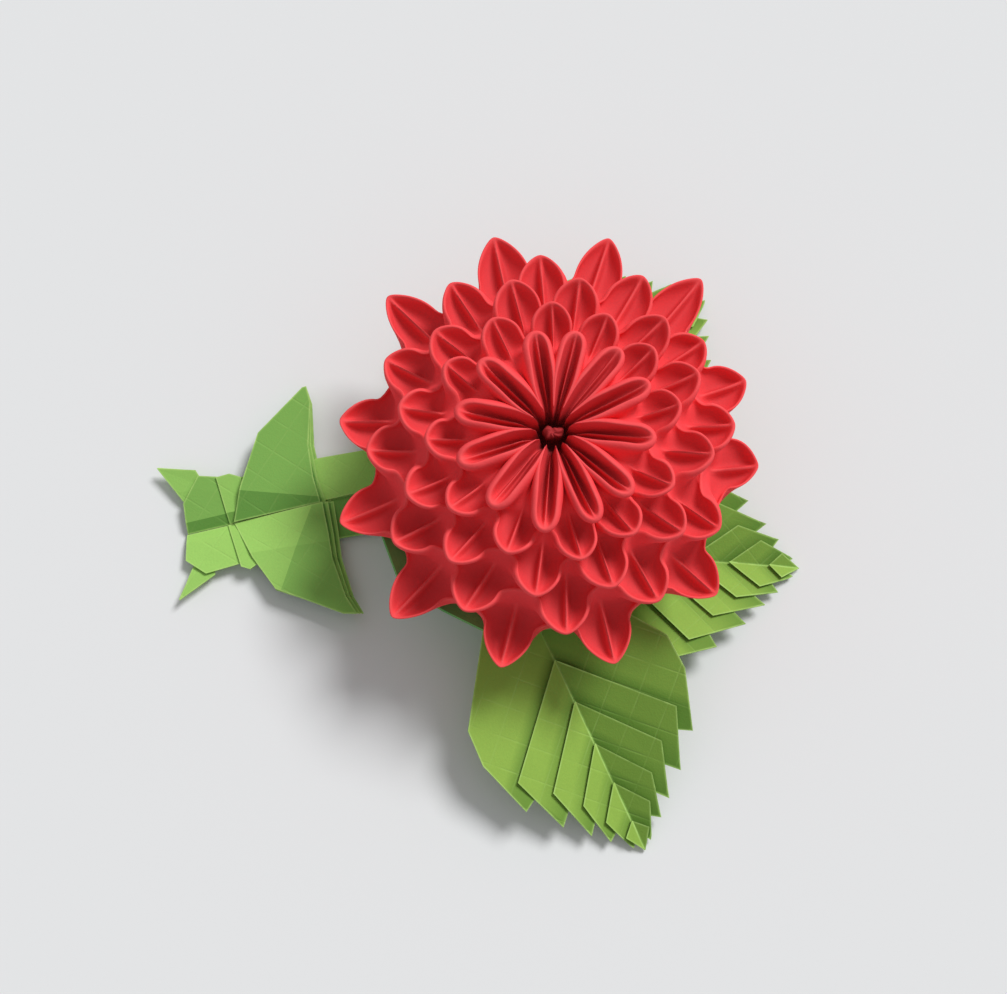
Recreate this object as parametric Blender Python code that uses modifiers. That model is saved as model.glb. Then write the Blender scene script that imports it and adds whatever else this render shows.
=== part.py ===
"""A folded paper dahlia lying on a table: a domed red head of five rings of petals,
its green calyx, a folded stem with two wings, and three pleated leaves.

The origin is on the table, under the axis of the head. +Z is up.
"""

import math
from functools import partial
from typing import NamedTuple

import bmesh
import bpy
from mathutils import Matrix, Vector

MM = 0.001                        # the sizes below are in millimetres
TOUCH = 0.3                       # gap kept between pieces that touch

# Calyx: a folded cup under the head
CALYX_SIDES = 12
CALYX_NECK_RADIUS = 7.0           # also the flat foot that stands on the table
CALYX_NECK_HEIGHT = 9.0
CALYX_RIM_RADIUS = 37.5
CALYX_RIM_HEIGHT = 17.0
CALYX_PAPER = 0.5
CALYX_TURN = -110.0               # degrees, direction of one corner

# Head: one pleated sheet, folded tight, so its layers count as one solid
PETALS = 12                       # petals in each ring
PETAL_COLUMNS = 12                # columns of the sheet across one petal
HEAD_TURN = 20.0                  # degrees, direction of the first petal
HEAD_SOLE_RADIUS = 7.0            # flat middle of the underside
HEAD_BELLY_RADIUS = 24.0
KNOB_RADIUS = 1.8                 # twisted middle of the sheet
KNOB_DROP = 1.6                   # top of the knob below the fork of the first ring
HOLE_RADIUS = 2.4
HOLE_DEPTH = 6.5
TUCK_BACK = 0.35                  # foot of a wall behind the fork of the next ring
HULL_DEPTH = 3.0                  # outer wall of the last ring, halfway down
HULL_PULL = 2.0                   # how far it leans in there, below a petal's tip
KEEL_RADIUS = 34.5                # underside of the last ring, below a petal
KEEL_DEPTH = 5.0


class Ring(NamedTuple):
    """One ring of petals; heights are above the rim of the calyx."""

    tip_radius: float
    tip_height: float
    fork_radius: float            # inner turn of the rim, between two petals
    fork_height: float
    half_width: float
    valley_radius: float          # foot of the walls, between two petals
    valley_height: float
    dip: float                    # depth of the two grooves beside the ridge
    arch: float                   # how far the rim bows up between fork and tip
    bulge: float                  # how far the outer walls swell
    back_reach: float             # how much further the petals reach at the back


RINGS = (
    Ring(18.0, 25.0, 2.8, 24.0, 1.9, 15.5, 21.0, 4.2, 0.8, 1.7, 0.0),
    Ring(25.0, 22.5, 16.8, 19.8, 3.4, 20.5, 18.0, 3.0, 0.6, 0.7, 0.0),
    Ring(31.0, 19.2, 22.8, 16.8, 4.2, 26.0, 14.3, 3.0, 0.6, 0.6, 0.0),
    Ring(37.0, 13.5, 28.2, 13.0, 4.7, 31.0, 9.0, 3.0, 0.6, 0.5, 1.0),
    Ring(43.4, 7.0, 33.5, 8.0, 5.0, 33.0, 1.8, 2.6, 0.4, 0.4, 3.0),
)

RIM_ROUND = 1.5                   # how bluntly a petal's rim turns at its tip
RIM_WIDEST = 0.6                  # where a petal is widest, from tip to fork
RIM_APART = 0.3                   # how far neighbouring rims keep apart before the fork
FLOOR_SHARES = (0.35, 0.75)       # rows of a petal's floor, from its foot to its rim
FLOOR_DEPTHS = (1.0, 0.62)
WALL_SHARE = 0.45                 # row of an outer wall where it swells most

# Leaf outline: t runs back from the tip along the midrib, w out from it
LEAF_LENGTH = 66.0                # of the whole leaf; its base is tucked under the calyx
LEAF_MIDRIB = (42.1, 32.9, 23.6, 15.0, 6.6)            # t where each pleat starts
LEAF_PLEAT_ENDS = ((23.5, 17.5), (18.5, 12.0), (13.6, 7.6), (8.6, 4.9), (4.0, 2.6))
LEAF_TEETH = ((17.6, 18.4), (11.5, 13.0), (7.4, 8.6), (4.6, 5.6))
LEAF_SHOULDER = ((37.0, 22.0), (29.5, 22.3))
LEAF_NECK = 2.0                   # half width at the base
LEAF_PLEAT_MARGIN = 1.4           # least length of sheet behind the first pleat
SEAT_STEP = 0.1                   # precision of the leaf's fit under the calyx
LEAF_PAPER = 0.45
LEAF_PLEAT_STEP = 0.9             # height of one pleat's folded edge
LEAF_FOLD = 11.0                  # degrees, each half rises from the midrib
LEAF_TIP_HEIGHT = 0.6


class LeafPlace(NamedTuple):
    """Where a leaf lies: its tip on the table, the way it points and how it leans."""

    name: str
    tip_reach: float              # of the tip beyond the rim of the calyx
    tip_direction: float          # degrees, seen from the axis of the head
    heading: float                # degrees
    lean: float                   # degrees, base above tip


LEAVES = (
    LeafPlace("leaf_front", 41.0, -76.0, -64.0, 10.1),
    LeafPlace("leaf_right", 17.72, -19.35, -3.0, 5.0),
    LeafPlace("leaf_back", 17.27, 51.90, 43.0, 8.0),
)

# Stem: folded flat with a seam along its middle; a runs along the seam, b out from it
STEM_START = (-74.9, -11.1)
STEM_HEADING = 13.6               # degrees
STEM_PAPER = 1.2                  # several layers pressed together
STEM_HALF_WIDTH = 9.2
STEM_SLOPE = 0.42                 # rise of each half beside the seam
STEM_KNEE = 4.2                   # where the half grows flatter
STEM_OUTER_SLOPE = 0.12
BAND_OUTLINE = ((-0.5, 0.0), (-0.7, 6.0), (3.0, 10.3), (12.0, STEM_HALF_WIDTH))
WING_OUTLINE = ((9.8, 0.0), (13.0, 9.0), (17.5, 17.3), (31.2, 25.4), (31.8, 18.1), (28.3, 0.0))
WING_LIFT = 1.0
WING_PAPER = 1.6
TUCK_START = 8.6                  # narrow pleat in front of the wings
TUCK_WIDTH = 2.2
TUCK_LIFT = 0.5
HORN_OUTLINE = ((-3.7, 14.1), (4.2, 9.8), (1.5, 7.0), (-0.5, 6.3))
HORN_DROP = 0.5

RED = (0.80, 0.035, 0.035, 1.0)
LEAF_GREEN = (0.20, 0.42, 0.045, 1.0)
STEM_GREEN = (0.24, 0.46, 0.06, 1.0)
CALYX_GREEN = (0.13, 0.34, 0.05, 1.0)


def clear_scene():
    for old in list(bpy.data.objects):
        bpy.data.objects.remove(old, do_unlink=True)


def paper(name, colour):
    """Matt coloured paper."""
    material = bpy.data.materials.new(name)
    material.use_nodes = True
    shader = material.node_tree.nodes["Principled BSDF"]
    shader.inputs["Base Color"].default_value = colour
    shader.inputs["Roughness"].default_value = 0.75
    shader.inputs["Metallic"].default_value = 0.0
    return material


def add_object(name, bm, material, collection):
    mesh = bpy.data.meshes.new(name)
    bm.to_mesh(mesh)
    bm.free()
    obj = bpy.data.objects.new(name, mesh)
    obj.data.materials.append(material)
    collection.objects.link(obj)
    return obj


def thicken(obj, thickness):
    """Gives an open sheet its wall, behind the modelled side."""
    solid = obj.modifiers.new("paper", "SOLIDIFY")
    solid.thickness = thickness * MM
    solid.offset = -1.0
    solid.use_even_offset = False


def calyx_height(radius):
    """Height of the outside of the calyx at a radius, measured at a corner."""
    share = (radius - CALYX_NECK_RADIUS) / (CALYX_RIM_RADIUS - CALYX_NECK_RADIUS)
    return CALYX_NECK_HEIGHT + share * (CALYX_RIM_HEIGHT - CALYX_NECK_HEIGHT)


def underside_height(radius):
    """Height of the head's underside, which rests in the calyx with a small gap."""
    flat_side = radius / math.cos(math.pi / CALYX_SIDES)
    slope = (CALYX_RIM_HEIGHT - CALYX_NECK_HEIGHT) / (CALYX_RIM_RADIUS - CALYX_NECK_RADIUS)
    return calyx_height(flat_side) + (CALYX_PAPER + TOUCH) * math.hypot(1.0, slope)


def mix(a, b, share):
    return a + (b - a) * share


def polar(radius, angle, height):
    return Vector((radius * math.cos(angle), radius * math.sin(angle), height))


def column_angle(column):
    return column * 2 * math.pi / (PETALS * PETAL_COLUMNS)


def petal_share(number, column):
    """Signed place across a column's own petal: 0 at its middle, 1 at the fork beside it.
    Each ring is turned by half a petal from the ring before it."""
    half = PETAL_COLUMNS // 2
    shift = half * (number % 2)
    step = (column + half - shift) % PETAL_COLUMNS - half
    return step / half


def rim_point(number, column):
    """Folded edge of a ring: an outward turn at each petal's tip, and a fork between two."""
    ring = RINGS[number]
    share = petal_share(number, column)
    half_pitch = math.pi / PETALS
    middle = column_angle(column) - share * half_pitch
    behind = max(0.0, math.sin(middle + math.radians(HEAD_TURN)))
    tip_radius = ring.tip_radius + ring.back_reach * behind ** 2
    back = abs(share) ** RIM_ROUND
    radius = mix(tip_radius, ring.fork_radius, back)
    height = mix(ring.tip_height, ring.fork_height, back) + ring.arch * 4 * back * (1 - back)
    width = ring.half_width * math.sin(math.pi / 2 * min(1.0, abs(share) / RIM_WIDEST))
    to_fork = max(0.0, (abs(share) - RIM_WIDEST) / (1 - RIM_WIDEST))
    width = mix(width, radius * math.sin(half_pitch), to_fork ** 2)
    free = half_pitch * (1 - RIM_APART * (1 - abs(share)))
    angle = math.copysign(min(math.asin(width / radius), free), share)
    return polar(radius, middle + angle, CALYX_RIM_HEIGHT + height)


def foot_point(number, column):
    """Foot of a ring's outer walls, where the next ring's petals begin."""
    ring = RINGS[number]
    following = RINGS[number + 1]
    share = abs(petal_share(number, column))
    radius = mix(following.fork_radius - TUCK_BACK, ring.valley_radius, share)
    height = mix(following.fork_height - TUCK_BACK, ring.valley_height, share)
    return polar(radius, column_angle(column), CALYX_RIM_HEIGHT + height)


def hole_point(column):
    """Bottom of the small hole round the knob."""
    height = CALYX_RIM_HEIGHT + RINGS[0].fork_height - HOLE_DEPTH
    return polar(HOLE_RADIUS, column_angle(column), height)


def floor_point(number, place, column):
    """Floor of a petal: a ridge along its middle with a groove on each side."""
    start = foot_point(number - 1, column) if number else hole_point(column)
    point = start.lerp(rim_point(number, column), FLOOR_SHARES[place])
    groove = max(0.0, math.sin(1.5 * math.pi * abs(petal_share(number, column))))
    point.z -= RINGS[number].dip * groove * FLOOR_DEPTHS[place]
    return point


def wall_point(number, column):
    """Outer wall of a petal, where it swells between its rim and its foot."""
    rim = rim_point(number, column)
    point = rim.lerp(foot_point(number, column), WALL_SHARE)
    share = abs(petal_share(number, column))
    swell = 1.0 + RINGS[number].bulge * (1 - share ** 2) / rim.xy.length
    return Vector((point.x * swell, point.y * swell, point.z))


def hull_point(column):
    """Outer wall of the last ring, halfway down."""
    last = len(RINGS) - 1
    point = rim_point(last, column)
    share = abs(petal_share(last, column))
    pull = 1.0 - HULL_PULL * (1 - share) / point.xy.length
    return Vector((point.x * pull, point.y * pull, point.z - HULL_DEPTH))


def keel_point(column):
    """Underside of the last ring, where its walls turn in under the head."""
    last = len(RINGS) - 1
    share = abs(petal_share(last, column))
    radius = mix(KEEL_RADIUS, RINGS[last].valley_radius, share)
    height = mix(RINGS[last].tip_height - KEEL_DEPTH, RINGS[last].valley_height, share)
    return polar(radius, column_angle(column), CALYX_RIM_HEIGHT + height)


def head_rows():
    """Rows of the head's surface, from the twisted middle outwards and then underneath."""
    knob_top = CALYX_RIM_HEIGHT + RINGS[0].fork_height - KNOB_DROP

    def circle(radius, height):
        return lambda column: polar(radius, column_angle(column), height)

    rows = [
        circle(0.0, knob_top),
        circle(0.6 * KNOB_RADIUS, knob_top - 0.2 * KNOB_RADIUS),
        circle(KNOB_RADIUS, knob_top - KNOB_RADIUS),
        hole_point,
    ]
    for number in range(len(RINGS)):
        for place in range(len(FLOOR_SHARES)):
            rows.append(partial(floor_point, number, place))
        rows.append(partial(rim_point, number))
        if number + 1 < len(RINGS):
            rows.append(partial(wall_point, number))
            rows.append(partial(foot_point, number))
    rows.append(hull_point)
    rows.append(keel_point)
    for radius in (HEAD_BELLY_RADIUS, HEAD_SOLE_RADIUS):
        rows.append(circle(radius, underside_height(radius)))
    rows.append(circle(0.0, underside_height(HEAD_SOLE_RADIUS)))
    return rows


def make_flower_head(collection):
    """The whole head is one sheet, pleated into rings and closed to a round by its seam."""
    rows = head_rows()
    columns = PETALS * PETAL_COLUMNS
    bm = bmesh.new()
    bmesh.ops.create_grid(bm, x_segments=columns, y_segments=len(rows) - 1, size=1.0)
    turn = Matrix.Rotation(math.radians(HEAD_TURN), 3, "Z")
    for vertex in bm.verts:
        column = round((1.0 + vertex.co.x) / 2 * columns)
        row = round((1.0 + vertex.co.y) / 2 * (len(rows) - 1))
        vertex.co = turn @ rows[row](column % columns) * MM
    bmesh.ops.remove_doubles(bm, verts=bm.verts, dist=0.001 * MM)
    bmesh.ops.reverse_faces(bm, faces=bm.faces)
    bmesh.ops.triangulate(bm, faces=bm.faces, quad_method="SHORT_EDGE")
    return add_object("flower_head", bm, paper("red_paper", RED), collection)


def make_calyx(collection):
    """A turned cup with flat sides: a foot on the table and a wide wall under the head."""
    profile = (
        (0.0, 0.0),
        (CALYX_NECK_RADIUS, 0.0),
        (CALYX_NECK_RADIUS, CALYX_NECK_HEIGHT),
        (CALYX_RIM_RADIUS, CALYX_RIM_HEIGHT),
    )
    bm = bmesh.new()
    points = [bm.verts.new((x * MM, 0.0, z * MM)) for x, z in profile]
    for a, b in zip(points, points[1:]):
        bm.edges.new((a, b))
    bmesh.ops.spin(
        bm, geom=bm.verts[:] + bm.edges[:], cent=(0, 0, 0), axis=(0, 0, 1),
        angle=2 * math.pi, steps=CALYX_SIDES, use_merge=True)
    bmesh.ops.remove_doubles(bm, verts=bm.verts, dist=0.001 * MM)
    bmesh.ops.rotate(
        bm, verts=bm.verts, cent=(0, 0, 0),
        matrix=Matrix.Rotation(math.radians(CALYX_TURN), 3, "Z"))
    bm.normal_update()
    if sum(face.normal.z for face in bm.faces) > 0:
        bmesh.ops.reverse_faces(bm, faces=bm.faces)
    calyx = add_object("calyx", bm, paper("calyx_paper", CALYX_GREEN), collection)
    thicken(calyx, CALYX_PAPER)
    return calyx


def leaf_sheet(length):
    """Top side of a leaf in its own place: tip at the origin, base towards -X."""
    bm = bmesh.new()
    slope = math.tan(math.radians(LEAF_FOLD))

    def corner(t, w, side, lift=0.0):
        return bm.verts.new((-t * MM, side * w * MM, (w * slope + lift) * MM))

    base = corner(length, 0.0, 1)
    middle_low = [corner(t, 0.0, 1) for t in LEAF_MIDRIB]
    middle_high = [corner(t, 0.0, 1, LEAF_PLEAT_STEP) for t in LEAF_MIDRIB]
    tip = corner(0.0, 0.0, 1)
    for side in (1, -1):
        low = [corner(t, w, side) for t, w in LEAF_PLEAT_ENDS]
        high = [corner(t, w, side, LEAF_PLEAT_STEP) for t, w in LEAF_PLEAT_ENDS]
        teeth = [corner(t, w, side) for t, w in LEAF_TEETH]
        neck_width = neck_half_width(length)
        edge = [corner(length, neck_width, side)]
        edge += [corner(t, w, side) for t, w in LEAF_SHOULDER if t < length]
        faces = [[base, *edge, teeth[0], low[0], middle_low[0]]]
        for n in range(len(LEAF_MIDRIB)):
            faces.append([middle_low[n], low[n], high[n], middle_high[n]])
            strip = [middle_high[n], high[n]]
            if n + 1 < len(teeth):
                strip.append(teeth[n + 1])
            if n + 1 < len(LEAF_MIDRIB):
                strip += [low[n + 1], middle_low[n + 1]]
            else:
                strip.append(tip)
            faces.append(strip)
        for corners in faces:
            bm.faces.new(corners if side > 0 else corners[::-1])
    bm.normal_update()
    if sum(face.normal.z for face in bm.faces) < 0:
        bmesh.ops.reverse_faces(bm, faces=bm.faces)
    bmesh.ops.triangulate(bm, faces=bm.faces, ngon_method="EAR_CLIP")
    return bm


def neck_half_width(length):
    """Half width of the cut base, on the line from the shoulder to the neck."""
    shoulder_t, shoulder_w = LEAF_SHOULDER[0]
    share = (length - shoulder_t) / (LEAF_LENGTH - shoulder_t)
    return mix(shoulder_w, LEAF_NECK, share)


def leaf_matrix(place):
    tip_radius = CALYX_RIM_RADIUS + place.tip_reach
    tip = polar(tip_radius, math.radians(place.tip_direction), LEAF_TIP_HEIGHT) * MM
    heading = Matrix.Rotation(math.radians(place.heading), 4, "Z")
    lean = Matrix.Rotation(math.radians(place.lean), 4, "Y")
    return Matrix.Translation(tip) @ heading @ lean


def calyx_clearance(point):
    """Distance in millimetres from a point under the calyx to its neck or its wall."""
    radius = point.xy.length
    slope = (CALYX_RIM_HEIGHT - CALYX_NECK_HEIGHT) / (CALYX_RIM_RADIUS - CALYX_NECK_RADIUS)
    below = (calyx_height(radius) - point.z) / math.hypot(1.0, slope)
    return min(radius - CALYX_NECK_RADIUS, below)


def seated_length(place):
    """Length of the part of a leaf that fits: its base comes close under the calyx."""
    matrix = leaf_matrix(place)
    rise = math.tan(math.radians(LEAF_FOLD))

    def clearance(length):
        half = neck_half_width(length)
        spots = [half * share for share in (-1.0, -0.75, -0.5, -0.25, 0.0, 0.25, 0.5, 0.75, 1.0)]
        base = [Vector((-length, w, abs(w) * rise)) * MM for w in spots]
        return min(calyx_clearance(matrix @ point / MM) for point in base)

    length = LEAF_MIDRIB[0] + LEAF_PLEAT_MARGIN
    while length + SEAT_STEP <= LEAF_LENGTH and clearance(length + SEAT_STEP) >= TOUCH:
        length += SEAT_STEP
    return length


def make_leaf(place, collection):
    bm = leaf_sheet(seated_length(place))
    bm.transform(leaf_matrix(place))
    leaf = add_object(place.name, bm, paper(place.name + "_paper", LEAF_GREEN), collection)
    thicken(leaf, LEAF_PAPER)
    return leaf


def stem_height(b):
    """Rise of a stem half over the seam: steep at first, then flatter."""
    steep = min(abs(b), STEM_KNEE)
    return STEM_SLOPE * steep + STEM_OUTER_SLOPE * (abs(b) - steep)


def stem_reach():
    """Length of the stem along its seam, up to the neck of the calyx."""
    heading = math.radians(STEM_HEADING)
    start_x, start_y = STEM_START
    along = -start_x * math.cos(heading) - start_y * math.sin(heading)
    aside = abs(start_x * math.sin(heading) - start_y * math.cos(heading))
    past_corner = max(0.0, aside - STEM_HALF_WIDTH)
    return along - math.sqrt((CALYX_NECK_RADIUS + TOUCH) ** 2 - past_corner ** 2)


def stem_layer(name, outline, lift, thickness, collection):
    """One layer of the stem on both sides of the seam, as a closed plate."""
    bm = bmesh.new()
    for side in (1, -1):
        corners = [bm.verts.new((a * MM, side * b * MM, 0.0)) for a, b in outline]
        bm.faces.new(corners[::side])
    bmesh.ops.remove_doubles(bm, verts=bm.verts, dist=0.001 * MM)
    for knee in (STEM_KNEE, -STEM_KNEE):
        bmesh.ops.bisect_plane(
            bm, geom=bm.verts[:] + bm.edges[:] + bm.faces[:],
            plane_co=(0, knee * MM, 0), plane_no=(0, 1, 0), dist=0.001 * MM)
    for vertex in bm.verts:
        vertex.co.z = (stem_height(vertex.co.y / MM) + lift) * MM
    bm.normal_update()
    if sum(face.normal.z for face in bm.faces) < 0:
        bmesh.ops.reverse_faces(bm, faces=bm.faces)
    walls = bmesh.ops.extrude_face_region(bm, geom=bm.faces[:])
    for item in walls["geom"]:
        if isinstance(item, bmesh.types.BMVert):
            item.co.z += thickness * MM
    return add_object(name, bm, paper(name + "_paper", STEM_GREEN), collection)


def join_solids(obj, others):
    """Unites overlapping plates with the first one, as pressed layers of one piece."""
    for other in others:
        union = obj.modifiers.new("union", "BOOLEAN")
        union.operation = "UNION"
        union.solver = "MANIFOLD"
        union.object = other
        other.hide_render = True
        other.display_type = "WIRE"


def make_stem(collection, cutters):
    """A folded strip with a seam; the wings, the tuck and the horns are layers of it."""
    reach = stem_reach()
    band = (*BAND_OUTLINE, (reach, STEM_HALF_WIDTH), (reach, 0.0))
    tuck = (
        (TUCK_START, 0.0),
        (TUCK_START, STEM_HALF_WIDTH + TUCK_LIFT),
        (TUCK_START + TUCK_WIDTH, STEM_HALF_WIDTH + TUCK_LIFT),
        (TUCK_START + TUCK_WIDTH, 0.0),
    )
    stem = stem_layer("stem", band, 0.0, STEM_PAPER, collection)
    layers = [
        stem_layer("wing_layer", WING_OUTLINE, WING_LIFT, WING_PAPER, cutters),
        stem_layer("tuck_layer", tuck, TUCK_LIFT, STEM_PAPER, cutters),
        stem_layer("horn_layer", HORN_OUTLINE, -HORN_DROP, STEM_PAPER, cutters),
    ]
    place = Matrix.Translation(Vector((*STEM_START, 0.0)) * MM)
    place @= Matrix.Rotation(math.radians(STEM_HEADING), 4, "Z")
    for layer in (stem, *layers):
        layer.data.transform(place)
    join_solids(stem, layers)
    return stem


def main():
    clear_scene()
    flower = bpy.data.collections.new("paper_flower")
    cutters = bpy.data.collections.new("stem_layers")
    for collection in (flower, cutters):
        bpy.context.scene.collection.children.link(collection)
    make_flower_head(flower)
    make_calyx(flower)
    make_stem(flower, cutters)
    for place in LEAVES:
        make_leaf(place, flower)


main()
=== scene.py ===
"""Looks of the folded paper dahlia: a red pleated head, a green calyx, a winged stem and
three pleated leaves, on a plain pale table."""

import math
from functools import partial
from typing import NamedTuple

import bmesh
import bpy
from bpy.props import FloatProperty, FloatVectorProperty, PointerProperty
from mathutils import Matrix, Vector, noise


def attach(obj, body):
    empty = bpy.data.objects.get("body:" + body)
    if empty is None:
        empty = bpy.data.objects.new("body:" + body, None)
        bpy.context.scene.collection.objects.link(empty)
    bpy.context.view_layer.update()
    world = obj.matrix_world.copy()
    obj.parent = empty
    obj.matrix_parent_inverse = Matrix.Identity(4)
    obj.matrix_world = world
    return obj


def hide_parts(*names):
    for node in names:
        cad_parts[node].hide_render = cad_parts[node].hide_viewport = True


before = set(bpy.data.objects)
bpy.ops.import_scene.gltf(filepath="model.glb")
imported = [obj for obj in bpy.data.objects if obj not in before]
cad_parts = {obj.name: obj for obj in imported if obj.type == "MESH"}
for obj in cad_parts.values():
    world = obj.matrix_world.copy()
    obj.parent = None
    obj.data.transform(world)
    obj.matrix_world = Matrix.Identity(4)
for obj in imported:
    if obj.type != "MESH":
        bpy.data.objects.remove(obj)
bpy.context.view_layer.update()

bl_info = {
    "name": "Folded Paper Dahlia",
    "version": (1, 0, 0),
    "blender": (4, 5, 0),
    "location": "View3D > Sidebar > Dahlia",
    "description": "Builds a folded paper dahlia with its stem and leaves",
    "category": "Add Mesh",
}

MM = 0.001                        # the sizes below are in millimetres
MERGE = 0.002 * MM                # vertices closer than this become one

PETALS = 12                       # petals in each ring
PETAL_COLUMNS = 24                # columns of the sheet across one petal
HALF_COLUMNS = PETAL_COLUMNS // 2
RIM_BASE = 17.0                   # height of the calyx's rim
KNOB_RADIUS = 1.7
KNOB_DROP = 2.6                   # top of the knob below the fork of the first ring
KNOB_HEADING = math.radians(-35.0)
HOLE_RADIUS = 2.7
HOLE_DEPTH = 8.0
MOUTH_WIDER = 0.3                 # the hole's mouth is this much wider than its foot
MOUTH_DEPTH = 1.6                 # of the petals' ridges at the hole, below the forks
TUCK_BACK = 0.35                  # of a wall's foot, behind and below the next fork

CALYX_SIDES = 12
CALYX_NECK_RADIUS = 7.0
CALYX_NECK_HEIGHT = 9.0
CALYX_CUP_START = 8.0             # radius beyond which the profile is the cup
CALYX_RIM_RADIUS = 37.5
CALYX_HIDDEN_RADIUS = 34.4        # of the rim where the petals hide it
CALYX_GROWTH = 5.0                # how much wider it is on the side where it shows
CALYX_SIDE = math.radians(222.0)  # direction of that side
CALYX_TURN = math.radians(-110.0)
CALYX_PINCH = 0.03                # how much more the neck is drawn in between its corners
CALYX_PROFILE = (                 # radius and height, from the foot's middle to the hem
    (0.0, 0.0), (5.0, 0.0), (6.6, 0.0), (7.0, 0.6), (7.0, 5.0), (7.2, 8.4), (9.0, 9.6),
    (16.0, 11.4), (26.0, 14.0), (36.2, 16.7), (37.5, 17.0), (37.2, 17.35), (35.8, 16.9))


class Ring(NamedTuple):
    """One ring of petals; heights are above the rim of the calyx."""

    tip_height: float
    fork_radius: float
    fork_height: float
    half_width: float
    valley_radius: float
    valley_height: float
    dip: float                    # depth of the two grooves beside the ridge
    arch: float                   # how far the rim bows up between fork and tip
    bulge: float                  # how far the outer walls swell
    blunt: float                  # how bluntly the rim turns at the tip
    widest: float                 # where the petal is widest, from tip to fork
    petals: tuple                 # direction in degrees and radius of each tip


RINGS = (
    Ring(25.0, 3.3, 24.0, 1.9, 16.3, 21.0, 2.4, 0.9, 1.35, 1.9, 0.44, (
        (25, 20.2), (50, 20.0), (76, 19.2), (100, 19.0), (137, 18.6), (170, 18.4),
        (201, 18.8), (233, 19.2), (265, 20.4), (293, 20.0), (318, 19.4), (353, 19.2))),
    Ring(22.5, 18.4, 19.6, 3.6, 20.9, 18.0, 2.5, 0.7, 0.9, 1.5, 0.68, (
        (40, 25.6), (65, 25.8), (90, 25.8), (117, 25.4), (147, 24.4), (184, 24.2),
        (218, 24.8), (250, 25.6), (282, 25.8), (307, 25.4), (334, 25.2), (372, 25.0))),
    Ring(19.2, 23.8, 16.6, 4.1, 26.0, 14.3, 2.6, 0.7, 0.9, 1.45, 0.70, (
        (24, 31.2), (47, 32.6), (80, 32.6), (104, 32.8), (137, 31.2), (169, 30.0),
        (203, 30.2), (232, 31.6), (264, 31.8), (291, 32.0), (322, 31.4), (353, 31.2))),
    Ring(13.5, 29.5, 12.8, 4.4, 31.2, 9.0, 2.6, 0.7, 0.9, 1.4, 0.72, (
        (35, 37.0), (62, 39.4), (93, 39.4), (121, 38.8), (152, 37.0), (182, 36.0),
        (213, 36.4), (243, 37.4), (274, 38.0), (303, 37.4), (332, 36.6), (366, 36.0))),
    Ring(7.0, 34.4, 7.5, 4.9, 34.8, 1.5, 2.8, 0.5, 0.5, 1.28, 0.78, (
        (21, 42.0), (50, 48.0), (75, 47.4), (104, 47.2), (135, 46.6), (171, 42.6),
        (199, 44.0), (227, 45.6), (257, 44.4), (286, 44.2), (318, 43.2), (356, 41.2))),
)

# Leaf outline: t runs back from the tip along the midrib, w out from it
LEAF_MIDRIB = (42.1, 32.9, 23.6, 15.0, 6.6)
LEAF_PLEAT_ENDS = ((23.5, 17.5), (18.5, 12.0), (13.6, 7.6), (8.6, 4.9), (4.0, 2.6))
LEAF_TEETH = ((17.6, 18.4), (11.5, 13.0), (7.4, 8.6), (4.6, 5.6), (2.2, 2.4))
LEAF_SHOULDER = ((37.0, 22.0), (29.5, 22.3))
LEAF_FULL = (66.0, 2.0)
LEAF_FOLD = 11.0                  # degrees, each half rises from the midrib
LEAF_STEP = 1.0                   # height of a pleat's folded edge over the strip before
LEAF_UNDERLAP = 2.6               # how far a strip runs on under the next one
LEAF_TIP_HEIGHT = 0.7
LEAF_TUCK = 0.15                  # how deep a strip dips under the next one
UNDERLAP_WIDTH = 0.72             # of the part under the next strip, as a share of its fold
MIDRIB_RISE = 0.22                # of the shallow half beside the midrib
MIDRIB_WIDTH = 3.0
CREASE_GRID = 5.9                 # squares of the creases that the folder made first
CREASE_NUMBERS = range(-2, 14)    # lines of that grid which cross a leaf, from its tip


class Leaf(NamedTuple):
    """Place and slopes of a leaf; angles are in degrees."""

    name: str
    node: str
    tip_x: float
    tip_y: float
    heading: float                # direction from its base to its tip
    lean: float                   # how far its base is raised over its tip
    length: float
    steep: float                  # slope of its steeper half


LEAVES = (
    Leaf("leaf_front_folds", "leaf_front", 19.0, -76.2, -64.0, 10.1, 59.8, 15.5),
    Leaf("leaf_right_folds", "leaf_right", 52.1, -18.3, -3.0, 5.0, 46.1, 12.0),
    Leaf("leaf_back_folds", "leaf_back", 33.8, 43.1, 43.0, 8.0, 45.5, 11.0),
)

STEM_START = (-74.9, -11.1)
STEM_HEADING = 13.6               # in degrees

CAMERA_PLACE = (-9.4, -107.9, 392.3)
CAMERA_ELEVATION = 75.0
CAMERA_LENS = 69.0
KEY_FROM = (0.62, 0.66, 1.0)      # direction that the soft light comes from
KEY_ANGLE = math.radians(22.0)
TABLE_REACH = 4.0                 # from its middle to its edge, in metres


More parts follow.
